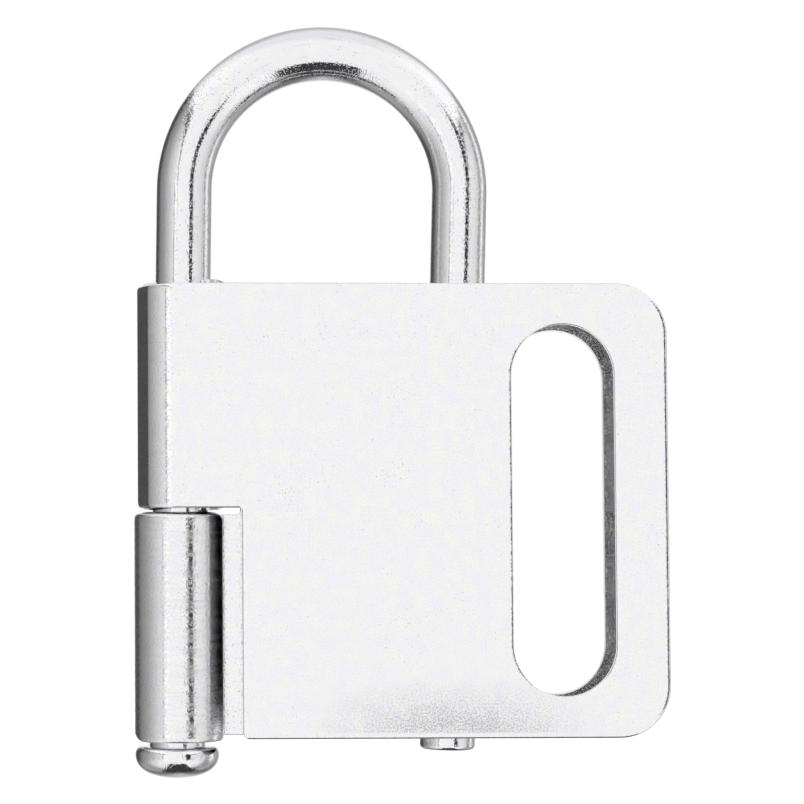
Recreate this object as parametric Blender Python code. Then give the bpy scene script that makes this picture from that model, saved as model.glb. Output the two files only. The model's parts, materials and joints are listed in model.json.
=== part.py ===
"""Lockout hasp with a bent rod shackle and two sheet steel wings that swing on its long leg.

Metres, +Z up, the front of the hasp faces -Y. The origin is the inside crown of the shackle's bow.
"""

from math import cos, exp, pi, radians, sin, tan

import bmesh
import bpy
from mathutils import Vector

# Shackle
rod_diameter = 0.009525
jaw_width = 0.0381
shackle_lean = radians(0.54)      # the shackle stands slightly out of square in its loose knuckles
leg_convergence = radians(0.82)   # the short leg closes in a little towards its end
bow_flattening = 0.022            # the rod thins across the bow where it was bent
short_leg_end = -0.1152
short_leg_round = 0.0008

# Formed head at the foot of the long leg
head_top = -0.1149
head_bottom = -0.12035
head_radius = 0.00717
head_shoulder_drop = 0.00135
head_flat_radius = 0.0060
head_fullness = 2.3

# Wings: one stamping used twice, the rear one turned end over end
sheet = 0.0025
knuckle_radius = 0.0076
split_height = -0.0744            # where the two knuckles meet
wing_half_height = 0.0387
wing_reach = 0.0831               # from the hinge axis to the free edge
wing_corner = 0.0088
rim_gap = 0.0004                  # from the split to the knuckle's rim
notch_reach = 0.0104              # the plate is cut back this far beside the other wing's knuckle
notch_inner_corner = 0.0005
notch_outer_corner = 0.0010
back_wing_drop = 0.0002
wing_slant = radians(0.4)          # the wings' upright edges and knuckles lean this much the other way
edge_roll = 0.0006                # the soft edge that stamping leaves on the outer face
curl_end = radians(306)           # how far the sheet is rolled round the pin

# Rolling the sheet makes its inner side stand proud at the knuckle's ends
lip_rise_outer = 0.0006
lip_rise_split = 0.0003
shoulder_drop = 0.0004
lip_reach = 0.0020
lip_run_in = 0.0060

# Padlock slot
slot_centre = 0.0652
slot_width = 0.0176
slot_length = 0.0634

# Smoothness of the round shapes
rod_sides = 36
bow_steps = 26
head_steps = 5
corner_steps = 7
slot_steps = 14
curl_steps = 40
edge_steps = 2
end_steps = 3
smooth_limit = radians(32)        # faces that meet more sharply than this show an edge

rod_radius = rod_diameter / 2
bow_radius = jaw_width / 2 + rod_radius
bow_centre = Vector((0, 0, -jaw_width / 2))
knuckle_middle = (rim_gap + wing_half_height) / 2
curl_radius = knuckle_radius - sheet / 2
curl_length = curl_radius * curl_end


def clear_scene():
    for item in list(bpy.data.objects):
        bpy.data.objects.remove(item, do_unlink=True)


def zinc_plate(name, tint, roughness):
    material = bpy.data.materials.new(name)
    material.use_nodes = True
    shader = material.node_tree.nodes["Principled BSDF"]
    shader.inputs["Base Color"].default_value = (*tint, 1)
    shader.inputs["Metallic"].default_value = 1
    shader.inputs["Roughness"].default_value = roughness
    return material


def add_object(name, mesh, material, location=(0, 0, 0), rotation=(0, 0, 0)):
    mesh.materials.append(material)
    piece = bpy.data.objects.new(name, mesh)
    piece.location = location
    piece.rotation_euler = rotation
    bpy.context.scene.collection.objects.link(piece)


def mesh_from(bm, name):
    bmesh.ops.recalc_face_normals(bm, faces=bm.faces)
    mesh = bpy.data.meshes.new(name)
    bm.to_mesh(mesh)
    bm.free()
    mesh.shade_smooth()
    mesh.set_sharp_from_angle(angle=smooth_limit)
    return mesh


# ---- shackle ----

def head_stations():
    """The head's turned profile from its lowest ring up to the rod: centre height and radius."""
    stations = []
    dome_height = head_top - head_shoulder_drop - head_bottom
    for step in range(1, head_steps + 1):
        turn = step / head_steps * pi / 2
        radius = head_radius * sin(turn) ** (2 / head_fullness)
        height = head_top - head_shoulder_drop - dome_height * cos(turn) ** (2 / head_fullness)
        stations.append((height, radius))
    round_width = head_radius - head_flat_radius
    for step in range(1, head_steps):
        turn = step / (head_steps - 1) * pi / 2
        radius = head_flat_radius + round_width * cos(turn)
        height = head_top - head_shoulder_drop * (1 - sin(turn))
        stations.append((height, radius))
    stations.append((head_top, rod_radius))
    return stations


def ring(bm, centre, along, across_radius, depth_radius):
    """A ring of vertices square to the path; across_radius lies in the plane of the bow."""
    depth = Vector((0, 1, 0))
    across = depth.cross(along).normalized()
    verts = []
    for side in range(rod_sides):
        turn = 2 * pi * side / rod_sides
        offset = across * (cos(turn) * across_radius) + depth * (sin(turn) * depth_radius)
        verts.append(bm.verts.new(centre + offset))
    return verts


def build_shackle():
    bm = bmesh.new()
    long_leg_x = -bow_radius
    up = Vector((0, 0, 1))
    rings = []
    for height, radius in head_stations():
        rings.append(ring(bm, Vector((long_leg_x, 0, height)), up, radius, radius))
    bow_turn = pi + leg_convergence
    for step in range(bow_steps + 1):
        angle = pi - bow_turn * step / bow_steps
        centre = bow_centre + Vector((cos(angle), 0, sin(angle))) * bow_radius
        along = Vector((sin(angle), 0, -cos(angle)))
        across_radius = rod_radius * (1 - bow_flattening * max(0, sin(angle)))
        rings.append(ring(bm, centre, along, across_radius, rod_radius))
    leg_start = bow_centre + Vector((cos(-leg_convergence), 0, sin(-leg_convergence))) * bow_radius
    down = Vector((-sin(leg_convergence), 0, -cos(leg_convergence)))
    leg_length = (short_leg_end - leg_start.z) / down.z
    for step in range(end_steps + 1):
        turn = step / end_steps * pi / 2
        radius = rod_radius - short_leg_round * (1 - cos(turn))
        reach = leg_length - short_leg_round * (1 - sin(turn))
        rings.append(ring(bm, leg_start + down * reach, down, radius, radius))
    for lower, upper in zip(rings, rings[1:]):
        for side in range(rod_sides):
            following = (side + 1) % rod_sides
            bm.faces.new((lower[side], lower[following], upper[following], upper[side]))
    bm.faces.new(rings[-1])
    pole = bm.verts.new((long_leg_x, 0, head_bottom))
    for side in range(rod_sides):
        bm.faces.new((pole, rings[0][side], rings[0][(side + 1) % rod_sides]))
    return mesh_from(bm, "shackle")


# ---- wings ----

def arc(centre, radius, start, end, steps):
    """Points on an arc in the wing's plane, both ends included."""
    points = []
    for step in range(steps + 1):
        angle = start + (end - start) * step / steps
        points.append((centre[0] + radius * cos(angle), centre[1] + radius * sin(angle)))
    return points


def plate_outline():
    """The flat part of the wing, as (distance from hinge axis, height above the split)."""
    low = -wing_half_height
    high = wing_half_height
    right = wing_reach - wing_corner
    points = [(0, rim_gap)]
    points += arc((notch_reach - notch_inner_corner, rim_gap - notch_inner_corner),
                  notch_inner_corner, pi / 2, 0, 2)
    points += arc((notch_reach + notch_outer_corner, low + notch_outer_corner),
                  notch_outer_corner, pi, 1.5 * pi, 3)
    points += arc((right, low + wing_corner), wing_corner, -pi / 2, 0, corner_steps)
    points += arc((right, high - wing_corner), wing_corner, 0, pi / 2, corner_steps)
    points.append((0, high))
    return points


def slot_outline():
    half_straight = (slot_length - slot_width) / 2
    radius = slot_width / 2
    points = arc((slot_centre, half_straight), radius, 0, pi, slot_steps)
    points += arc((slot_centre, -half_straight), radius, pi, 2 * pi, slot_steps)
    return points


def loop_edges(bm, points):
    verts = [bm.verts.new((x, 0, z)) for x, z in points]
    return [bm.edges.new((verts[i], verts[(i + 1) % len(verts)])) for i in range(len(verts))]


def flat_blank():
    """The wing before it is rolled: outer face at y = 0, the sheet's thickness towards +Y."""
    bm = bmesh.new()
    outline = loop_edges(bm, plate_outline())
    slot = loop_edges(bm, slot_outline())
    bmesh.ops.triangle_fill(bm, use_beauty=True, use_dissolve=False, edges=outline + slot)
    top = max((v for v in bm.verts if abs(v.co.x) < 1e-9), key=lambda v: v.co.z)
    bottom = min((v for v in bm.verts if abs(v.co.x) < 1e-9), key=lambda v: v.co.z)
    for step in range(1, curl_steps + 1):
        x = -curl_length * step / curl_steps
        next_top = bm.verts.new((x, 0, top.co.z))
        next_bottom = bm.verts.new((x, 0, bottom.co.z))
        bm.faces.new((bottom, top, next_top, next_bottom))
        top = next_top
        bottom = next_bottom
    grown = bmesh.ops.extrude_face_region(bm, geom=list(bm.faces))
    new_verts = [v for v in grown["geom"] if isinstance(v, bmesh.types.BMVert)]
    bmesh.ops.translate(bm, verts=new_verts, vec=(0, sheet, 0))
    bmesh.ops.recalc_face_normals(bm, faces=bm.faces)
    rim = []
    for edge in bm.edges:
        outer = all(abs(v.co.y) < 1e-9 for v in edge.verts)
        if outer and any(abs(f.normal.y) < 0.5 for f in edge.link_faces):
            rim.append(edge)
    bmesh.ops.bevel(bm, geom=rim, offset=edge_roll, segments=edge_steps, profile=0.5, affect="EDGES")
    return bm


def lip_shift(point):
    """How far a point of the curl moves along the hinge axis as the sheet is rolled."""
    depth = point.y / sheet
    run_in = min(1, -point.x / lip_run_in)
    from_top = wing_half_height - point.z
    from_split = point.z - rim_gap
    at_top = (lip_rise_outer * depth - shoulder_drop * (1 - depth)) * exp(-from_top / lip_reach)
    at_split = (lip_rise_split * depth - shoulder_drop * (1 - depth)) * exp(-from_split / lip_reach)
    return run_in * (at_top - at_split)


def roll_knuckle(bm):
    for vert in bm.verts:
        point = vert.co.copy()
        radius = knuckle_radius - point.y
        height = point.z
        if point.x < 0:
            angle = -point.x / curl_radius
            height += lip_shift(point)
            vert.co = Vector((-radius * sin(angle), -radius * cos(angle), height))
        else:
            vert.co = Vector((point.x, -radius, height))


def build_wing(slant):
    bm = flat_blank()
    roll_knuckle(bm)
    bmesh.ops.translate(bm, verts=bm.verts, vec=(0, 0, -knuckle_middle))
    for vert in bm.verts:
        vert.co.x -= tan(slant) * vert.co.z
    return mesh_from(bm, "wing")


def knuckle_place(height):
    """A point on the long leg's centre line at the given height."""
    return Vector((-bow_radius / cos(shackle_lean) + height * tan(shackle_lean), 0, height))


def main():
    clear_scene()
    add_object("shackle", build_shackle(), zinc_plate("shackle zinc", (0.80, 0.81, 0.83), 0.16),
               rotation=(0, shackle_lean, 0))
    front_height = split_height + knuckle_middle
    back_height = split_height - knuckle_middle - back_wing_drop
    add_object("front_wing", build_wing(wing_slant), zinc_plate("front wing zinc", (0.84, 0.84, 0.86), 0.28),
               location=knuckle_place(front_height))
    add_object("back_wing", build_wing(-wing_slant), zinc_plate("back wing zinc", (0.82, 0.82, 0.84), 0.28),
               location=knuckle_place(back_height), rotation=(pi, 0, 0))


main()
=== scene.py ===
import json
from math import atan, cos, exp, pi, radians, sin, tan

import bmesh
import bpy
from mathutils import Matrix, Vector, noise


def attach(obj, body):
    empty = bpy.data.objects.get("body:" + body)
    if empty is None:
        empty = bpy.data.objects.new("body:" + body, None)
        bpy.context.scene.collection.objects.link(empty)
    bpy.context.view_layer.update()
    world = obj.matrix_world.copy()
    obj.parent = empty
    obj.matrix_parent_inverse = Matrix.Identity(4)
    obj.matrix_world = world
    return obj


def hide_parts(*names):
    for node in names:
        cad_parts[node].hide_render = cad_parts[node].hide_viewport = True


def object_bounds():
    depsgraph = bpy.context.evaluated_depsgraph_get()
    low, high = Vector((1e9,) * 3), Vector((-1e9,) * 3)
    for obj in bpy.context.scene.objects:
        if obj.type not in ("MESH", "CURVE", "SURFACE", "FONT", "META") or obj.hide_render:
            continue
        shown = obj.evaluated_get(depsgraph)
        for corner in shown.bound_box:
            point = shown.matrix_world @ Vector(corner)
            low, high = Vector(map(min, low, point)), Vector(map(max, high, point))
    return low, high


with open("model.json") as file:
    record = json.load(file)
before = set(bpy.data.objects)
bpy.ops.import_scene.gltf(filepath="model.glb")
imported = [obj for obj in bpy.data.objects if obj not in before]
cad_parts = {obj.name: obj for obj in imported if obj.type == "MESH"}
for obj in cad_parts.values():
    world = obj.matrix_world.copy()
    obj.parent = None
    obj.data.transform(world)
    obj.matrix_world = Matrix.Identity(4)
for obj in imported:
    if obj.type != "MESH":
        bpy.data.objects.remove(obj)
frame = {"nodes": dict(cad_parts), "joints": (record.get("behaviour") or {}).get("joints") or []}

cadLow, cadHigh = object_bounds()
print("frame loaded:", sorted(frame["nodes"]))

scene = bpy.context.scene
scene.view_settings.view_transform = "Standard"


cameraView = {
    "lens": 121.42,
    "sensor": 36.0,
    "standOff": 0.468,               # from the rod's middle plane
    "place": (-0.0034, -0.0779),     # across and up, square on to this point of the hasp
    "aim": (0.01366, -0.0557),       # the point in the middle of the picture
    "roll": radians(-0.07),
    "clip": (0.01, 20.0),
}


def placeCamera():
    lens = bpy.data.cameras.new("studioCamera")
    lens.lens = cameraView["lens"]
    lens.sensor_width = cameraView["sensor"]
    lens.clip_start, lens.clip_end = cameraView["clip"]
    camera = bpy.data.objects.new("studioCamera", lens)
    scene.collection.objects.link(camera)
    across, up = cameraView["place"]
    aimAcross, aimUp = cameraView["aim"]
    camera.location = (across, -cameraView["standOff"], up)
    gaze = Vector((aimAcross, 0, aimUp)) - camera.location
    level = gaze.to_track_quat("-Z", "Y").to_matrix()
    camera.rotation_euler = (level @ Matrix.Rotation(cameraView["roll"], 3, "Z")).to_euler()
    scene.camera = camera


placeCamera()
print("camera placed")


def addNode(tree, kind, **settings):
    node = tree.nodes.new(kind)
    for key, value in settings.items():
        if key in node.inputs:
            node.inputs[key].default_value = value
        else:
            setattr(node, key, value)
    return node


def joinUp(tree, source, target):
    tree.links.new(source, target)


def doMath(tree, operation, first, second=None, third=None, clamp=False):
    node = tree.nodes.new("ShaderNodeMath")
    node.operation = operation
    node.use_clamp = clamp
    for index, value in enumerate((first, second, third)):
        if value is None:
            continue
        if isinstance(value, (int, float)):
            node.inputs[index].default_value = value
        else:
            tree.links.new(value, node.inputs[index])
    return node.outputs[0]


def softStep(tree, value, low, high, atLow=0.0, atHigh=1.0):
    node = tree.nodes.new("ShaderNodeMapRange")
    node.interpolation_type = "SMOOTHSTEP"
    node.inputs["From Min"].default_value = low
    node.inputs["From Max"].default_value = high
    node.inputs["To Min"].default_value = atLow
    node.inputs["To Max"].default_value = atHigh
    tree.links.new(value, node.inputs["Value"])
    return node.outputs["Result"]


def boxMask(tree, value, low, high, soft):
    return doMath(tree, "MULTIPLY", softStep(tree, value, low - soft, low + soft),
                  softStep(tree, value, high - soft, high + soft, 1.0, 0.0))


def mixColour(tree, factor, first, second, blend="MIX"):
    node = tree.nodes.new("ShaderNodeMix")
    node.data_type = "RGBA"
    node.blend_type = blend
    for socket, value in ((node.inputs[0], factor), (node.inputs[6], first), (node.inputs[7], second)):
        if isinstance(value, (int, float)):
            socket.default_value = value
        elif isinstance(value, tuple):
            socket.default_value = (*value, 1) if len(value) == 3 else value
        else:
            tree.links.new(value, socket)
    return node.outputs[2]


studio = {
    "backdrop": 1.0,
    # degrees round from the front towards +X, and the brightness at eye level
    "level": [
        (-180, 1.00), (-168, 0.80), (-154, 0.10), (-128, 0.06), (-122, 0.14), (-112, 0.24), (-88, 0.34),
        (-60, 0.62), (-42, 0.84), (-34, 1.10), (-20, 1.06), (-14, 0.985), (16, 0.975), (26, 1.02),
        (44, 0.88), (60, 0.84), (84, 0.72), (90, 0.36), (100, 0.38), (107, 0.95), (116, 0.95),
        (124, 0.42), (150, 0.32), (163, 0.65), (180, 1.00),
    ],
    # the same, looking down
    "low": [
        (-180, 0.60), (-160, 0.14), (-138, 0.40), (-120, 0.35), (-104, 0.35), (-88, 0.62), (-60, 0.92),
        (-30, 0.98), (0, 0.98), (40, 1.04), (72, 0.95), (88, 0.40), (98, 0.30), (118, 0.36),
        (132, 0.45), (150, 0.16), (166, 0.20), (180, 0.60),
    ],
    # the same, looking up
    "high": [
        (-180, 0.55), (-150, 0.50), (-120, 0.90), (-60, 1.10), (-20, 0.985), (20, 0.97), (60, 1.10),
        (110, 1.05), (150, 0.50), (180, 0.55),
    ],
    # how high the ceiling light's edge stands, in degrees
    "ceilingEdge": [
        (-180, 16), (-150, 28), (-120, 40), (-90, 40), (-60, 35), (-45, 29), (-32, 20), (-25, 10),
        (-22, -60), (22, -60), (25, 9), (33, 15), (45, 23), (60, 30), (80, 34), (110, 38), (140, 34),
        (180, 16),
    ],
    "edgeLowest": -60.0,
    "edgeSpan": 120.0,               # a ramp holds only 0 to 1, so the edge's height is scaled into it
    "edgeFade": (-2, 2),
    "lowFade": (-35, -8),
    "zenithFade": (50, 72),
    "zenith": (0.86, 0.86, 0.8944),
    "rightBar": {"middle": 33.0, "half": 7.0, "soft": 1.0, "top": 24.0, "bottom": -17.0, "fade": 2.0,
                 "dark": 0.04},
    "leftBar": {"middle": -39.0, "half": 1.6, "soft": 1.0, "top": 9.0, "bottom": -17.0, "fade": 2.0,
                "dark": 0.25},
    "edgeLine": {"half": 2.6, "soft": 1.2, "dark": 0.10, "fadeIn": (23, 26), "fadeOut": (50, 90),
                 "fadeUp": (4, 9)},
    # sides as distances over depth below the hasp
    "floorPatch": {"left": -0.37, "right": 0.48, "front": 1.0, "rear": -0.55, "soft": 0.05,
                   "frontSoft": 0.1, "rearSoft": 0.2, "fadeDown": (-30, -20), "leastDepth": 0.001,
                   "dark": 0.045},
    "floorDrop": 0.040,
    "floorSize": 3.0,
    "floorPale": 0.88,
    "floorRough": 0.9,
    "floorGlow": 0.25,
}


def azimuthRamp(tree, wayRound, stops, scale=1.0, offset=0.0):
    ramp = addNode(tree, "ShaderNodeValToRGB")
    joinUp(tree, wayRound, ramp.inputs[0])
    elements = ramp.color_ramp.elements
    for index, (azimuth, level) in enumerate(stops):
        place = azimuth / 360 + 0.5
        if index < 2:
            elements[index].position = place
            stop = elements[index]
        else:
            stop = elements.new(place)
        value = (level - offset) / scale
        stop.color = (value, value, value, 1)
    return ramp.outputs["Color"]


def uprightBar(tree, turn, climb, colour, bar):
    away = doMath(tree, "ABSOLUTE", doMath(tree, "SUBTRACT", turn, bar["middle"]))
    inside = softStep(tree, away, bar["half"] - bar["soft"], bar["half"] + bar["soft"], 1.0, 0.0)
    reach = boxMask(tree, climb, bar["bottom"], bar["top"], bar["fade"])
    return mixColour(tree, doMath(tree, "MULTIPLY", inside, reach), colour, (bar["dark"],) * 3)


def edgeLine(tree, turn, climb, over, colour):
    line = studio["edgeLine"]
    away = doMath(tree, "ABSOLUTE", doMath(tree, "ADD", over, line["half"]))
    onLine = softStep(tree, away, line["half"] - line["soft"], line["half"] + line["soft"], 1.0, 0.0)
    aside = doMath(tree, "ABSOLUTE", turn)
    for fade in (softStep(tree, aside, *line["fadeIn"]),
                 softStep(tree, aside, *line["fadeOut"], 1.0, 0.0),
                 softStep(tree, climb, *line["fadeUp"])):
        onLine = doMath(tree, "MULTIPLY", onLine, fade)
    return mixColour(tree, onLine, colour, (line["dark"],) * 3)


def floorPatch(tree, across, towardsFront, up, climb, colour):
    patch = studio["floorPatch"]
    front, rear = patch["front"], patch["rear"]
    depth = doMath(tree, "MAXIMUM", doMath(tree, "MULTIPLY", up, -1.0), patch["leastDepth"])
    east = doMath(tree, "DIVIDE", across, depth)
    south = doMath(tree, "DIVIDE", towardsFront, depth)
    inside = boxMask(tree, east, patch["left"], patch["right"], patch["soft"])
    for fade in (softStep(tree, south, front - patch["frontSoft"], front + patch["frontSoft"], 1.0, 0.0),
                 softStep(tree, south, rear - patch["rearSoft"], rear + patch["rearSoft"]),
                 softStep(tree, climb, *patch["fadeDown"], 1.0, 0.0)):
        inside = doMath(tree, "MULTIPLY", inside, fade)
    return mixColour(tree, inside, colour, (patch["dark"],) * 3)


def lightStudio():
    world = bpy.data.worlds.new("studio")
    world.use_nodes = True
    scene.world = world
    tree = world.node_tree
    tree.nodes.clear()
    place = addNode(tree, "ShaderNodeTexCoord")
    split = addNode(tree, "ShaderNodeSeparateXYZ")
    joinUp(tree, place.outputs["Generated"], split.inputs[0])
    across, back, up = split.outputs["X"], split.outputs["Y"], split.outputs["Z"]
    towardsFront = doMath(tree, "MULTIPLY", back, -1.0)
    radiansRound = doMath(tree, "ARCTAN2", across, towardsFront)
    wayRound = doMath(tree, "MULTIPLY_ADD", radiansRound, 0.5 / pi, 0.5)
    turn = doMath(tree, "MULTIPLY", radiansRound, 180 / pi)
    climb = doMath(tree, "MULTIPLY", doMath(tree, "ARCSINE", up), 180 / pi)
    colour = mixColour(tree, softStep(tree, climb, *studio["lowFade"], 1.0, 0.0),
                       azimuthRamp(tree, wayRound, studio["level"]),
                       azimuthRamp(tree, wayRound, studio["low"]))
    colour = uprightBar(tree, turn, climb, colour, studio["leftBar"])
    span, lowest = studio["edgeSpan"], studio["edgeLowest"]
    edge = azimuthRamp(tree, wayRound, studio["ceilingEdge"], span, lowest)
    over = doMath(tree, "SUBTRACT", climb, doMath(tree, "MULTIPLY_ADD", edge, span, lowest))
    ceiling = mixColour(tree, softStep(tree, climb, *studio["zenithFade"]),
                        azimuthRamp(tree, wayRound, studio["high"]), studio["zenith"])
    colour = mixColour(tree, softStep(tree, over, *studio["edgeFade"]), colour, ceiling)
    colour = edgeLine(tree, turn, climb, over, colour)
    colour = uprightBar(tree, turn, climb, colour, studio["rightBar"])
    colour = floorPatch(tree, across, towardsFront, up, climb, colour)
    # the hasp is seen and softly lit in plain white, and mirrors the panels
    rays = addNode(tree, "ShaderNodeLightPath")
    plain = doMath(tree, "MAXIMUM", rays.outputs["Is Camera Ray"], rays.outputs["Is Diffuse Ray"])
    colour = mixColour(tree, plain, colour, (studio["backdrop"],) * 3)
    glow = addNode(tree, "ShaderNodeBackground")
    joinUp(tree, colour, glow.inputs["Color"])
    out = addNode(tree, "ShaderNodeOutputWorld")
    joinUp(tree, glow.outputs[0], out.inputs["Surface"])


def layFloor():
    mesh = bpy.data.meshes.new("studioFloor")
    bm = bmesh.new()
    bmesh.ops.create_grid(bm, x_segments=1, y_segments=1, size=studio["floorSize"])
    bm.to_mesh(mesh)
    bm.free()
    floor = bpy.data.objects.new("studioFloor", mesh)
    floor.location = (0, 0, cadLow.z - studio["floorDrop"])
    scene.collection.objects.link(floor)
    material = bpy.data.materials.new("paleFloor")
    material.use_nodes = True
    shader = material.node_tree.nodes["Principled BSDF"]
    shader.inputs["Base Color"].default_value = (*(studio["floorPale"],) * 3, 1)
    shader.inputs["Roughness"].default_value = studio["floorRough"]
    shader.inputs["Specular IOR Level"].default_value = 0.0
    shader.inputs["Emission Color"].default_value = (1, 1, 1, 1)
    shader.inputs["Emission Strength"].default_value = studio["floorGlow"]
    mesh.materials.append(material)
    floor.visible_glossy = False


lightStudio()
layFloor()
print("studio lit")


platingShape = {
    "patchEdges": (0.32, 0.68),
    "crystalEdges": (0.50, 0.72),
    "clusterSpread": 0.36,           # how far a cluster lifts or lowers its pits
    "pitSharpness": 14.0,
    "streakPatches": (0.42, 0.62),
    "streakSharpness": 12.0,
}


def newGroup(name, inputs, outputs):
    group = bpy.data.node_groups.new(name, "ShaderNodeTree")
    for socketName, kind, value in inputs:
        socket = group.interface.new_socket(name=socketName, in_out="INPUT", socket_type=kind)
        if value is not None:
            socket.default_value = value
    for socketName, kind in outputs:
        group.interface.new_socket(name=socketName, in_out="OUTPUT", socket_type=kind)
    entry = group.nodes.new("NodeGroupInput")
    leave = group.nodes.new("NodeGroupOutput")
    return group, entry, leave


def placeGroup(tree, group, **values):
    node = tree.nodes.new("ShaderNodeGroup")
    node.node_tree = group
    for key, value in values.items():
        node.inputs[key.replace("_", " ")].default_value = value
    return node


def makeMottle():
    # cool and warm patches a few millimetres across
    group, entry, leave = newGroup(
        "platingMottle",
        [("Vector", "NodeSocketVector", None), ("Patch Scale", "NodeSocketFloat", 380.0),
         ("Cool", "NodeSocketColor", (0.87, 0.87, 0.96, 1)),
         ("Warm", "NodeSocketColor", (0.94, 0.94, 0.88, 1)),
         ("Amount", "NodeSocketFloat", 0.5), ("Metal", "NodeSocketColor", (0.89, 0.89, 0.90, 1))],
        [("Colour", "NodeSocketColor"), ("Mask", "NodeSocketFloat")])
    patches = addNode(group, "ShaderNodeTexNoise", noise_dimensions="3D", Detail=2.0, Roughness=0.5)
    joinUp(group, entry.outputs["Vector"], patches.inputs["Vector"])
    joinUp(group, entry.outputs["Patch Scale"], patches.inputs["Scale"])
    swing = softStep(group, patches.outputs["Fac"], *platingShape["patchEdges"])
    tint = mixColour(group, swing, entry.outputs["Cool"], entry.outputs["Warm"])
    colour = mixColour(group, entry.outputs["Amount"], entry.outputs["Metal"], tint)
    joinUp(group, colour, leave.inputs["Colour"])
    joinUp(group, swing, leave.inputs["Mask"])
    return group


def makeGrain():
    # sparse fine crystals over a slower orange peel
    group, entry, leave = newGroup(
        "platingGrain",
        [("Vector", "NodeSocketVector", None), ("Fine Scale", "NodeSocketFloat", 4200.0),
         ("Peel Scale", "NodeSocketFloat", 900.0), ("Peel Share", "NodeSocketFloat", 0.5)],
        [("Height", "NodeSocketFloat"), ("Fine", "NodeSocketFloat")])
    fine = addNode(group, "ShaderNodeTexNoise", Detail=0.0)
    joinUp(group, entry.outputs["Vector"], fine.inputs["Vector"])
    joinUp(group, entry.outputs["Fine Scale"], fine.inputs["Scale"])
    peel = addNode(group, "ShaderNodeTexNoise", Detail=1.0, Roughness=0.5)
    joinUp(group, entry.outputs["Vector"], peel.inputs["Vector"])
    joinUp(group, entry.outputs["Peel Scale"], peel.inputs["Scale"])
    peelHeight = doMath(group, "MULTIPLY", peel.outputs["Fac"], entry.outputs["Peel Share"])
    crystals = softStep(group, fine.outputs["Fac"], *platingShape["crystalEdges"])
    height = doMath(group, "ADD", crystals, peelHeight)
    joinUp(group, height, leave.inputs["Height"])
    joinUp(group, fine.outputs["Fac"], leave.inputs["Fine"])
    return group


def makeSpecks():
    # small pits that come in loose clusters
    group, entry, leave = newGroup(
        "platingSpecks",
        [("Vector", "NodeSocketVector", None), ("Speck Scale", "NodeSocketFloat", 2600.0),
         ("Cluster Scale", "NodeSocketFloat", 170.0), ("Cut", "NodeSocketFloat", 0.66)],
        [("Mask", "NodeSocketFloat")])
    dots = addNode(group, "ShaderNodeTexNoise", Detail=1.0, Roughness=0.4)
    joinUp(group, entry.outputs["Vector"], dots.inputs["Vector"])
    joinUp(group, entry.outputs["Speck Scale"], dots.inputs["Scale"])
    clusters = addNode(group, "ShaderNodeTexNoise", Detail=3.0, Roughness=0.6)
    joinUp(group, entry.outputs["Vector"], clusters.inputs["Vector"])
    joinUp(group, entry.outputs["Cluster Scale"], clusters.inputs["Scale"])
    spread = platingShape["clusterSpread"]
    lift = doMath(group, "MULTIPLY_ADD", clusters.outputs["Fac"], spread, -spread / 2)
    value = doMath(group, "ADD", dots.outputs["Fac"], lift)
    over = doMath(group, "SUBTRACT", value, entry.outputs["Cut"])
    sharp = doMath(group, "MULTIPLY", over, platingShape["pitSharpness"], clamp=True)
    joinUp(group, sharp, leave.inputs["Mask"])
    return group


def makeStreaks():
    # long thin marks along one direction, only here and there
    group, entry, leave = newGroup(
        "toolStreaks",
        [("Vector", "NodeSocketVector", None), ("Stretch", "NodeSocketVector", (1.0, 1.0, 1.0)),
         ("Patch Scale", "NodeSocketFloat", 90.0), ("Cut", "NodeSocketFloat", 0.62)],
        [("Mask", "NodeSocketFloat"), ("Height", "NodeSocketFloat")])
    stretched = addNode(group, "ShaderNodeVectorMath", operation="MULTIPLY")
    joinUp(group, entry.outputs["Vector"], stretched.inputs[0])
    joinUp(group, entry.outputs["Stretch"], stretched.inputs[1])
    lines = addNode(group, "ShaderNodeTexNoise", Scale=1.0, Detail=2.0, Roughness=0.6)
    joinUp(group, stretched.outputs[0], lines.inputs["Vector"])
    patches = addNode(group, "ShaderNodeTexNoise", Detail=1.0)
    joinUp(group, entry.outputs["Vector"], patches.inputs["Vector"])
    joinUp(group, entry.outputs["Patch Scale"], patches.inputs["Scale"])
    share = softStep(group, patches.outputs["Fac"], *platingShape["streakPatches"])
    over = doMath(group, "SUBTRACT", lines.outputs["Fac"], entry.outputs["Cut"])
    sharp = doMath(group, "MULTIPLY", over, platingShape["streakSharpness"], clamp=True)
    joinUp(group, doMath(group, "MULTIPLY", sharp, share), leave.inputs["Mask"])
    joinUp(group, lines.outputs["Fac"], leave.inputs["Height"])
    return group


mottle = makeMottle()
grain = makeGrain()
specks = makeSpecks()
streaks = makeStreaks()


def baseMaterial(name, metal, roughness):
    material = bpy.data.materials.new(name)
    material.use_nodes = True
    tree = material.node_tree
    shader = tree.nodes["Principled BSDF"]
    shader.inputs["Metallic"].default_value = 1.0
    shader.inputs["Base Color"].default_value = (*metal, 1)
    shader.inputs["Roughness"].default_value = roughness
    return material, tree, shader


rodLook = {
    "metal": (0.89, 0.89, 0.905),
    "pit": (0.34, 0.34, 0.38),
    "smooth": 0.05,
    "dull": 0.11,
    "grainHeight": 0.000011,
    "spots": {"Patch_Scale": 420.0, "Amount": 0.45},
    "skin": {"Fine_Scale": 3100.0, "Peel_Scale": 1100.0, "Peel_Share": 0.20},
    "pits": {"Speck_Scale": 3300.0, "Cluster_Scale": 130.0, "Cut": 0.72},
    "drawn": {"Stretch": (2600.0, 2600.0, 160.0), "Patch_Scale": 110.0, "Cut": 0.60},
    "pitShow": 0.75,
    "drawnShow": 0.22,
    "pitDepth": 0.5,
    "drawnHeight": 0.05,
    "spotWear": 0.5,
}

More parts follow.
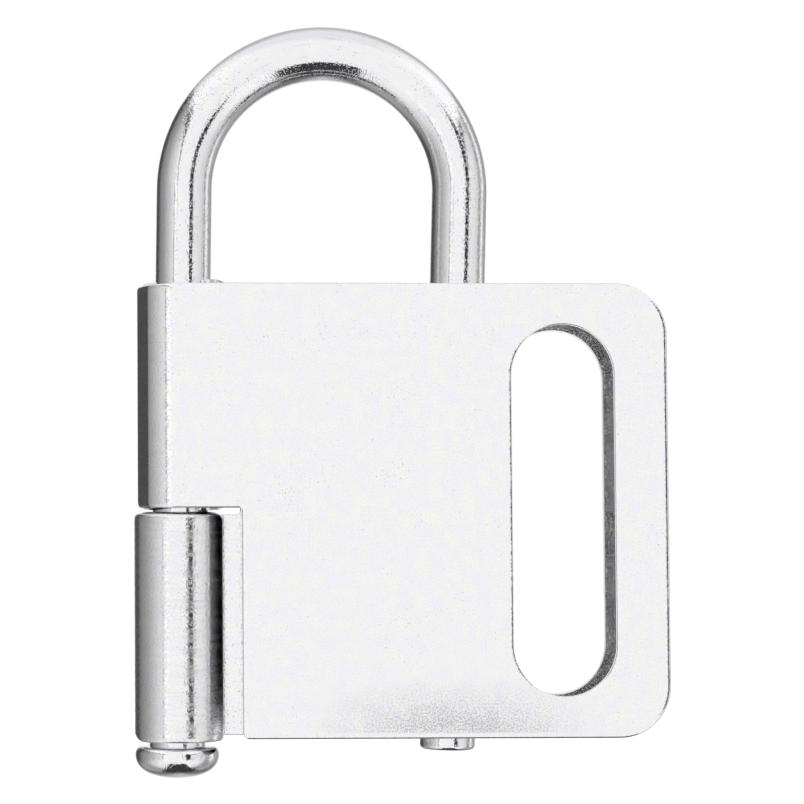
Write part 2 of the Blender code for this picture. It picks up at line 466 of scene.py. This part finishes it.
sheetLook = {
    "metal": (0.955, 0.955, 0.96),
    "pit": (0.42, 0.42, 0.46),
    "smudge": (0.62, 0.62, 0.66),
    "smooth": 0.09,
    "dull": 0.20,
    "hazy": 0.33,                    # the rolled side of the rear wing's knuckle
    "flatShare": 0.42,               # the flat plate's grain as a share of the knuckle's
    "grainHeight": 0.000013,
    "spots": {"Patch_Scale": 380.0, "Amount": 0.6},
    "skin": {"Fine_Scale": 2800.0, "Peel_Scale": 1000.0, "Peel_Share": 0.22},
    "pits": {"Speck_Scale": 2900.0, "Cluster_Scale": 90.0, "Cut": 0.71},
    "rolled": {"Stretch": (160.0, 300.0, 1100.0), "Patch_Scale": 80.0, "Cut": 0.52},
    "scratched": {"Stretch": (2400.0, 300.0, 90.0), "Patch_Scale": 60.0, "Cut": 0.66},
    "darkPatchSpecks": {"Speck_Scale": 3300.0, "Cluster_Scale": 260.0, "Cut": 0.50},
    "show": {"grit": 0.10, "pits": 0.70, "rolled": 0.16, "scratched": 0.40, "darkPatchSpecks": 0.85, "patch": 0.28},
    "pitDepth": 0.3,
    "rolledHeight": 0.10,
    "spotWear": 0.5,
    "curlFade": (-0.004, 0.001),
    "rearFade": (0.1, 0.2),
    "gritEdges": (0.46, 0.60),
    "hazeEdges": (0.35, 0.60),
    "darkPatchAcross": (0.032, 0.060),   # a darker, duller patch of fine specks by the lower edge of the front plate
    "darkPatchSoft": 0.014,
    "darkPatchUp": (-0.0374, -0.0275),
    "darkPatchFoot": 0.0006,
}


def wornMetal(tree, colour, marks):
    # each mark is a mask, the colour under it and how strongly it shows
    for mask, tint, strength in marks:
        colour = mixColour(tree, doMath(tree, "MULTIPLY", mask, strength), colour, tint)
    return colour


def wearMask(tree, spots, pits, look):
    worn = doMath(tree, "MULTIPLY", spots.outputs["Mask"], look["spotWear"])
    return doMath(tree, "MAXIMUM", worn, pits.outputs["Mask"])


def raiseGrain(tree, shader, height, look):
    bump = addNode(tree, "ShaderNodeBump", Strength=1.0, Distance=look["grainHeight"])
    joinUp(tree, height, bump.inputs["Height"])
    joinUp(tree, bump.outputs["Normal"], shader.inputs["Normal"])


def rodFinish():
    look = rodLook
    material, tree, shader = baseMaterial("brightZincRod", look["metal"], look["smooth"])
    place = addNode(tree, "ShaderNodeAttribute", attribute_name="unbent").outputs["Vector"]
    spots = placeGroup(tree, mottle, Metal=(*look["metal"], 1), **look["spots"])
    skin = placeGroup(tree, grain, **look["skin"])
    pits = placeGroup(tree, specks, **look["pits"])
    drawn = placeGroup(tree, streaks, **look["drawn"])
    for node in (spots, skin, pits, drawn):
        joinUp(tree, place, node.inputs["Vector"])
    marks = [
        (pits.outputs["Mask"], look["pit"], look["pitShow"]),
        (drawn.outputs["Mask"], look["pit"], look["drawnShow"]),
    ]
    joinUp(tree, wornMetal(tree, spots.outputs["Colour"], marks), shader.inputs["Base Color"])
    worn = wearMask(tree, spots, pits, look)
    joinUp(tree, softStep(tree, worn, 0.0, 1.0, look["smooth"], look["dull"]), shader.inputs["Roughness"])
    height = doMath(tree, "MULTIPLY_ADD", drawn.outputs["Height"], look["drawnHeight"], skin.outputs["Height"])
    height = doMath(tree, "MULTIPLY_ADD", pits.outputs["Mask"], -look["pitDepth"], height)
    raiseGrain(tree, shader, height, look)
    return material


# mask of a patch by the lower edge of the front plate, where the colour turns darker and speckled and the
# roughness rises
def darkPatchMask(tree, across, up, rear, look):
    low, high = look["darkPatchUp"]
    fall = doMath(tree, "MULTIPLY", softStep(tree, up, low - look["darkPatchFoot"], low),
                  softStep(tree, up, low, high, 1.0, 0.0))
    patch = doMath(tree, "MULTIPLY", boxMask(tree, across, *look["darkPatchAcross"], look["darkPatchSoft"]), fall)
    return doMath(tree, "MULTIPLY", patch, doMath(tree, "SUBTRACT", 1.0, rear))


def wingFinish():
    look = sheetLook
    material, tree, shader = baseMaterial("zincSheet", look["metal"], look["smooth"])
    place = addNode(tree, "ShaderNodeAttribute", attribute_name="blankPlace").outputs["Vector"]
    split = addNode(tree, "ShaderNodeSeparateXYZ")
    joinUp(tree, place, split.inputs[0])
    across, up = split.outputs["X"], split.outputs["Z"]
    rear = softStep(tree, split.outputs["Y"], *look["rearFade"])
    onCurl = softStep(tree, across, *look["curlFade"], 1.0, 0.0)
    spots = placeGroup(tree, mottle, Metal=(*look["metal"], 1), **look["spots"])
    skin = placeGroup(tree, grain, **look["skin"])
    pits = placeGroup(tree, specks, **look["pits"])
    rolled = placeGroup(tree, streaks, **look["rolled"])
    scratched = placeGroup(tree, streaks, **look["scratched"])
    darkPatchSpecks = placeGroup(tree, specks, **look["darkPatchSpecks"])
    for node in (spots, skin, pits, rolled, scratched, darkPatchSpecks):
        joinUp(tree, place, node.inputs["Vector"])
    patch = darkPatchMask(tree, across, up, rear, look)
    show = look["show"]
    marks = [
        (softStep(tree, skin.outputs["Fine"], *look["gritEdges"]), look["smudge"], show["grit"]),
        (pits.outputs["Mask"], look["pit"], show["pits"]),
        (doMath(tree, "MULTIPLY", rolled.outputs["Mask"], onCurl), look["smudge"], show["rolled"]),
        (scratched.outputs["Mask"], look["smudge"], show["scratched"]),
        # darker specks and a darker tone over the patch by the lower edge of the front plate
        (doMath(tree, "MULTIPLY", patch, darkPatchSpecks.outputs["Mask"]), look["pit"], show["darkPatchSpecks"]),
        (patch, look["smudge"], show["patch"]),
    ]
    joinUp(tree, wornMetal(tree, spots.outputs["Colour"], marks), shader.inputs["Base Color"])
    worn = doMath(tree, "MAXIMUM", wearMask(tree, spots, pits, look), patch)
    haze = doMath(tree, "MULTIPLY", doMath(tree, "MULTIPLY", onCurl, rear),
                  softStep(tree, rolled.outputs["Height"], *look["hazeEdges"]))
    roughness = softStep(tree, worn, 0.0, 1.0, look["smooth"], look["dull"])
    roughness = doMath(tree, "MULTIPLY_ADD", haze, look["hazy"] - look["dull"], roughness)
    joinUp(tree, roughness, shader.inputs["Roughness"])
    share = doMath(tree, "MULTIPLY_ADD", onCurl, 1.0 - look["flatShare"], look["flatShare"])
    height = doMath(tree, "MULTIPLY", skin.outputs["Height"], share)
    height = doMath(tree, "MULTIPLY_ADD", pits.outputs["Mask"], -look["pitDepth"], height)
    height = doMath(tree, "MULTIPLY_ADD", rolled.outputs["Height"], look["rolledHeight"], height)
    raiseGrain(tree, shader, height, look)
    return material


def finishMesh(bm, name, creaseAngle):
    bmesh.ops.recalc_face_normals(bm, faces=bm.faces)
    mesh = bpy.data.meshes.new(name)
    bm.to_mesh(mesh)
    bm.free()
    mesh.shade_smooth()
    mesh.set_sharp_from_angle(angle=creaseAngle)
    return mesh


def setPlaces(mesh, name, places):
    layer = mesh.attributes.new(name, "FLOAT_VECTOR", "POINT")
    layer.data.foreach_set("vector", [value for place in places for value in place])


shackle = {
    "rodDiameter": 0.009525,
    "jawWidth": 0.0381,
    "lean": radians(0.54),
    "legConvergence": radians(0.82),
    "bowFlattening": 0.022,
    "shortLegEnd": -0.1152,
    "shortLegRound": 0.0008,
    "headTop": -0.1149,
    "headBottom": -0.12035,
    "headRadius": 0.00717,
    "headShoulderDrop": 0.00135,
    "headFlatRadius": 0.0060,
    "headFullness": 2.3,
    "neckFlare": 0.0002,             # the head's last row, just outside the rod
    "neckStep": 0.00005,
    "headSteps": 22,
    "sides": 112,
    "straightStep": 0.0012,
    "bowSteps": 150,
    "endSteps": 8,
    "rippleHeight": 0.000012,
    "rippleScale": 160.0,
    "crease": radians(40),
}


def headProfile():
    part = shackle
    rows = []
    domeTop = part["headTop"] - part["headShoulderDrop"]
    domeHeight = domeTop - part["headBottom"]
    steps = part["headSteps"]
    for step in range(1, steps + 1):
        turn = step / steps * pi / 2
        rows.append((domeTop - domeHeight * cos(turn) ** (2 / part["headFullness"]),
                     part["headRadius"] * sin(turn) ** (2 / part["headFullness"])))
    roundWidth = part["headRadius"] - part["headFlatRadius"]
    for step in range(1, steps):
        turn = step / (steps - 1) * pi / 2
        rows.append((domeTop + part["headShoulderDrop"] * sin(turn),
                     part["headFlatRadius"] + roundWidth * cos(turn)))
    rows.append((part["headTop"], part["rodDiameter"] / 2 + part["neckFlare"]))
    return rows


def rodStations():
    # each station is a centre, the way the rod runs there, and its radius across the bow and front to back
    part = shackle
    rodRadius = part["rodDiameter"] / 2
    bowRadius = part["jawWidth"] / 2 + rodRadius
    bowCentre = Vector((0, 0, -part["jawWidth"] / 2))
    up = Vector((0, 0, 1))
    stations = [(Vector((-bowRadius, 0, height)), up, radius, radius) for height, radius in headProfile()]
    headRows = len(stations)
    height = part["headTop"] + part["neckStep"]
    while height < bowCentre.z - part["straightStep"] / 2:
        stations.append((Vector((-bowRadius, 0, height)), up, rodRadius, rodRadius))
        height += part["straightStep"]
    bowTurn = pi + part["legConvergence"]
    for step in range(part["bowSteps"] + 1):
        angle = pi - bowTurn * step / part["bowSteps"]
        centre = bowCentre + Vector((cos(angle), 0, sin(angle))) * bowRadius
        across = rodRadius * (1 - part["bowFlattening"] * max(0, sin(angle)))
        stations.append((centre, Vector((sin(angle), 0, -cos(angle))), across, rodRadius))
    legStart = stations[-1][0]
    down = Vector((-sin(part["legConvergence"]), 0, -cos(part["legConvergence"])))
    legLength = (part["shortLegEnd"] - legStart.z) / down.z
    reach = part["straightStep"]
    while reach < legLength - part["shortLegRound"] - part["straightStep"] / 3:
        stations.append((legStart + down * reach, down, rodRadius, rodRadius))
        reach += part["straightStep"]
    for step in range(part["endSteps"] + 1):
        turn = step / part["endSteps"] * pi / 2
        radius = rodRadius - part["shortLegRound"] * (1 - cos(turn))
        reach = legLength - part["shortLegRound"] * (1 - sin(turn))
        stations.append((legStart + down * reach, down, radius, radius))
    return stations, headRows


def buildShackle():
    part = shackle
    rodRadius = part["rodDiameter"] / 2
    stations, headRows = rodStations()
    bm = bmesh.new()
    depth = Vector((0, 1, 0))
    rings = []
    places = []
    run = 0
    before = stations[0][0]
    for row, (centre, along, acrossRadius, depthRadius) in enumerate(stations):
        run += (centre - before).length
        before = centre
        across = depth.cross(along).normalized()
        ring = []
        for side in range(part["sides"]):
            turn = 2 * pi * side / part["sides"]
            place = Vector((cos(turn) * acrossRadius, sin(turn) * depthRadius, run))
            ripple = 0
            if row >= headRows:
                ripple = noise.noise(place * part["rippleScale"]) * part["rippleHeight"]
            grow = 1 + ripple / rodRadius
            offset = across * (place.x * grow) + depth * (place.y * grow)
            ring.append(bm.verts.new(centre + offset))
            places.append(place)
        rings.append(ring)
    count = part["sides"]
    for lower, upper in zip(rings, rings[1:]):
        for side in range(count):
            following = (side + 1) % count
            bm.faces.new((lower[side], lower[following], upper[following], upper[side]))
    bm.faces.new(rings[-1])
    pole = bm.verts.new((stations[0][0].x, 0, part["headBottom"]))
    places.append(Vector((0, 0, 0)))
    for side in range(count):
        bm.faces.new((pole, rings[0][side], rings[0][(side + 1) % count]))
    mesh = finishMesh(bm, "shackleRod", part["crease"])
    setPlaces(mesh, "unbent", places)
    mesh.materials.append(rodFinish())
    rod = bpy.data.objects.new("shackleRod", mesh)
    rod.rotation_euler = (0, part["lean"], 0)
    scene.collection.objects.link(rod)
    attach(rod, "shackle")
    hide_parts("shackle")


buildShackle()
print("shackle built")


wing = {
    "sheet": 0.0025,
    "knuckleRadius": 0.0076,
    "halfHeight": 0.0387,
    "reach": 0.0831,
    "corner": 0.0088,
    "rimGap": 0.0004,
    "notchReach": 0.0104,
    "notchInnerCorner": 0.0005,
    "notchOuterCorner": 0.0012,
    "curlEnd": radians(306),
    "lipRiseSplit": 0.00045,
    "shoulderDrop": 0.0004,
    "lipReach": 0.0020,
    "proudFrom": (radians(95), radians(125)),    # past here the whole rim stands proud
    "earlyRise": 0.6,
    "lateSink": 0.6,
    "lipRunIn": 0.0060,
    "slotCentre": 0.0652,
    "slotWidth": 0.0176,
    "slotLength": 0.0634,
    "slant": radians(0.4),
    "cornerSteps": 18,
    "notchInnerSteps": 6,
    "notchOuterSteps": 8,
    "mitreLimit": 0.3,
    "slotSteps": 40,
    "rollWidth": 0.00070,
    "rollDepth": 0.00009,
    "rollCurve": 2.0,
    "rollSteps": 7,
    "edgeLip": 0.00034,
    "slotLip": 0.00019,
    "lipSteps": 5,
    # the cut side below the lip: how far in, and the share of the sheet's thickness
    "cutSide": [(0, 0.55), (0.00004, 0.8), (0.00008, 0.968), (0.00018, 1.0)],
    "inset": 0.00012,                # from the rim's rows to the flat fill
    "columnStep": radians(1.8),
    "plateStep": 0.0026,
    "waveHeight": 0.000016,
    "waveScale": 55.0,
    "crease": radians(38),
    "cutTouch": 1e-7,
    "planeTouch": 1e-9,
    "leastSlant": 1e-6,
    "flatNormal": 0.9999,
}

frontWing = {
    "name": "frontWing",
    "node": "front_wing",
    "joint": "front_wing_swing",
    "turned": False,
    "seed": 0.0,
    "lipRise": 0.00095,
    "pressedFlat": (radians(46), radians(84)),   # a short flat on the outside of the curl
}

backWing = {
    "name": "backWing",
    "node": "back_wing",
    "joint": "back_wing_swing",
    "turned": True,
    "seed": 0.3,
    "lipRise": 0.00055,
    "pressedFlat": None,
}


def arcPoints(centre, radius, start, end, steps):
    return [(centre[0] + radius * cos(start + (end - start) * step / steps),
             centre[1] + radius * sin(start + (end - start) * step / steps)) for step in range(steps + 1)]


def blankOutline():
    part = wing
    low, high = -part["halfHeight"], part["halfHeight"]
    right = part["reach"] - part["corner"]
    curlLength = (part["knuckleRadius"] - part["sheet"] / 2) * part["curlEnd"]
    inner, outer = part["notchInnerCorner"], part["notchOuterCorner"]
    points = [(-curlLength, high), (-curlLength, part["rimGap"]), (0, part["rimGap"])]
    points += arcPoints((part["notchReach"] - inner, part["rimGap"] - inner), inner, pi / 2, 0,
                         part["notchInnerSteps"])
    points += arcPoints((part["notchReach"] + outer, low + outer), outer, pi, 1.5 * pi,
                         part["notchOuterSteps"])
    points += arcPoints((right, low + part["corner"]), part["corner"], -pi / 2, 0, part["cornerSteps"])
    points += arcPoints((right, high - part["corner"]), part["corner"], 0, pi / 2, part["cornerSteps"])
    points.append((0, high))
    return points, curlLength


def slotOutline():
    part = wing
    radius = part["slotWidth"] / 2
    half = (part["slotLength"] - part["slotWidth"]) / 2
    points = arcPoints((part["slotCentre"], half), radius, pi, 0, part["slotSteps"])
    points += arcPoints((part["slotCentre"], -half), radius, 0, -pi, part["slotSteps"])
    return points


def drawIn(points, distance):
    moved = []
    count = len(points)
    for index, point in enumerate(points):
        before, after = Vector(points[index - 1]), Vector(points[(index + 1) % count])
        here = Vector(point)
        first, second = (here - before).normalized(), (after - here).normalized()
        firstNormal, secondNormal = Vector((-first.y, first.x)), Vector((-second.y, second.x))
        middle = (firstNormal + secondNormal).normalized()
        moved.append(here + middle * (distance / max(wing["mitreLimit"], middle.dot(firstNormal))))
    return moved


def rimProfile(lip):
    part = wing
    steps = part["rollSteps"]
    startTurn = atan(part["rollCurve"] * part["rollDepth"] / part["rollWidth"])
    rows = []
    for step in range(steps + 1):
        share = step / steps
        rows.append((part["rollWidth"] * (1 - share) + lip * (1 - sin(startTurn)),
                     part["rollDepth"] * share ** part["rollCurve"]))
    for step in range(1, part["lipSteps"] + 1):
        turn = startTurn + (pi / 2 - startTurn) * step / part["lipSteps"]
        rows.append((lip * (1 - sin(turn)), part["rollDepth"] + lip * (cos(startTurn) - cos(turn))))
    rows += [(inward, part["sheet"] * share) for inward, share in part["cutSide"]]
    return rows


def cutPlanes(curlLength):
    # close rows round the curl, then an even net over the plate
    part = wing
    cuts = []
    columns = part["curlEnd"] / part["columnStep"]
    for step in range(int(columns)):
        cuts.append((Vector((-curlLength * step / columns, 0, 0)), Vector((1, 0, 0))))
    across = part["plateStep"]
    while across < part["reach"]:
        cuts.append((Vector((across, 0, 0)), Vector((1, 0, 0))))
        across += part["plateStep"]
    height = -part["halfHeight"] + part["plateStep"]
    while height < part["halfHeight"]:
        cuts.append((Vector((0, 0, height)), Vector((0, 0, 1))))
        height += part["plateStep"]
    return cuts


def flatBlank():
    part = wing
    outline, curlLength = blankOutline()
    bm = bmesh.new()
    outerEdges, innerEdges = [], []
    for points, lip in ((outline, part["edgeLip"]), (slotOutline(), part["slotLip"])):
        profile = rimProfile(lip)
        profile = [(profile[0][0] + part["inset"], 0)] + profile
        profile.append((profile[-1][0] + part["inset"], part["sheet"]))
        loops = []
        for inward, depth in profile:
            loops.append([bm.verts.new((p.x, depth, p.y)) for p in drawIn(points, inward)])
        count = len(points)
        for upper, lower in zip(loops, loops[1:]):
            for index in range(count):
                following = (index + 1) % count
                bm.faces.new((upper[index], upper[following], lower[following], lower[index]))
        for loop, edges in ((loops[0], outerEdges), (loops[-1], innerEdges)):
            edges += [bm.edges.get((loop[index], loop[(index + 1) % count])) for index in range(count)]
    for edges in (outerEdges, innerEdges):
        bmesh.ops.triangle_fill(bm, use_beauty=True, use_dissolve=False, edges=edges)
    for point, normal in cutPlanes(curlLength):
        everything = list(bm.verts) + list(bm.edges) + list(bm.faces)
        bmesh.ops.bisect_plane(bm, geom=everything, dist=part["cutTouch"], plane_co=point, plane_no=normal)
    dropDiagonals(bm)
    return bm


def dropDiagonals(bm):
    part = wing
    spare = []
    for edge in bm.edges:
        run = edge.verts[1].co - edge.verts[0].co
        onFace = any(all(abs(v.co.y - level) < part["planeTouch"] for v in edge.verts)
                     for level in (0, part["sheet"]))
        if not onFace or len(edge.link_faces) != 2:
            continue
        flat = all(abs(face.normal.y) > part["flatNormal"] for face in edge.link_faces)
        if flat and abs(run.x) > part["leastSlant"] and abs(run.z) > part["leastSlant"]:
            spare.append(edge)
    bmesh.ops.dissolve_edges(bm, edges=spare, use_verts=True)


def smoothShare(value, low, high):
    share = min(1, max(0, (value - low) / (high - low)))
    return share * share * (3 - 2 * share)


def lipShift(point, angle, rise):
    part = wing
    depth = max(0.0, point.y / part["sheet"])
    runIn = min(1, -point.x / part["lipRunIn"])
    fromTop = part["halfHeight"] - point.z
    fromSplit = point.z - part["rimGap"]
    late = smoothShare(angle, *part["proudFrom"])
    proud = rise * (late + (1 - late) * depth ** 2 * part["earlyRise"])
    top = proud - part["shoulderDrop"] * (1 - depth) ** 2 * (1 - part["lateSink"] * late)
    shut = part["lipRiseSplit"] * depth ** 0.5 - part["shoulderDrop"] * (1 - depth) ** 3
    return runIn * (top * exp(-fromTop / part["lipReach"]) - shut * exp(-fromSplit / part["lipReach"]))


def flattened(angle, depth, flat):
    if flat is None or not flat[0] < angle < flat[1]:
        return 1.0
    middle, half = (flat[0] + flat[1]) / 2, (flat[1] - flat[0]) / 2
    return 1 - (1 - cos(half) / cos(angle - middle)) * (1 - depth)


def rollUp(bm, side):
    part = wing
    curlRadius = part["knuckleRadius"] - part["sheet"] / 2
    places = []
    for vert in bm.verts:
        point = vert.co.copy()
        places.append(point + Vector((0, side["seed"], 0)))
        wave = 0
        if point.x > part["knuckleRadius"]:
            flatPlace = Vector((point.x, side["seed"], point.z)) * part["waveScale"]
            wave = noise.noise(flatPlace) * part["waveHeight"]
        radius = part["knuckleRadius"] - point.y
        if point.x < 0:
            angle = -point.x / curlRadius
            radius *= flattened(angle, max(0.0, point.y / part["sheet"]), side["pressedFlat"])
            height = point.z + lipShift(point, angle, side["lipRise"])
            vert.co = Vector((-radius * sin(angle), -radius * cos(angle), height))
        else:
            vert.co = Vector((point.x, -radius + wave, point.z))
    return places


def buildWing(side, material):
    part = wing
    bm = flatBlank()
    places = rollUp(bm, side)
    middle = (part["rimGap"] + part["halfHeight"]) / 2
    slant = tan(part["slant"]) * (-1 if side["turned"] else 1)
    for vert in bm.verts:
        vert.co.z -= middle
        vert.co.x -= slant * vert.co.z
    mesh = finishMesh(bm, side["name"], part["crease"])
    setPlaces(mesh, "blankPlace", places)
    mesh.materials.append(material)
    piece = bpy.data.objects.new(side["name"], mesh)
    piece.location = next(j for j in frame["joints"] if j["name"] == side["joint"])["pos_m"]
    if side["turned"]:
        piece.rotation_euler = (pi, 0, 0)
    scene.collection.objects.link(piece)
    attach(piece, side["node"])
    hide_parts(side["node"])
    print(side["name"], "built,", len(mesh.polygons), "faces")


sheetFinish = wingFinish()
buildWing(frontWing, sheetFinish)
buildWing(backWing, sheetFinish)
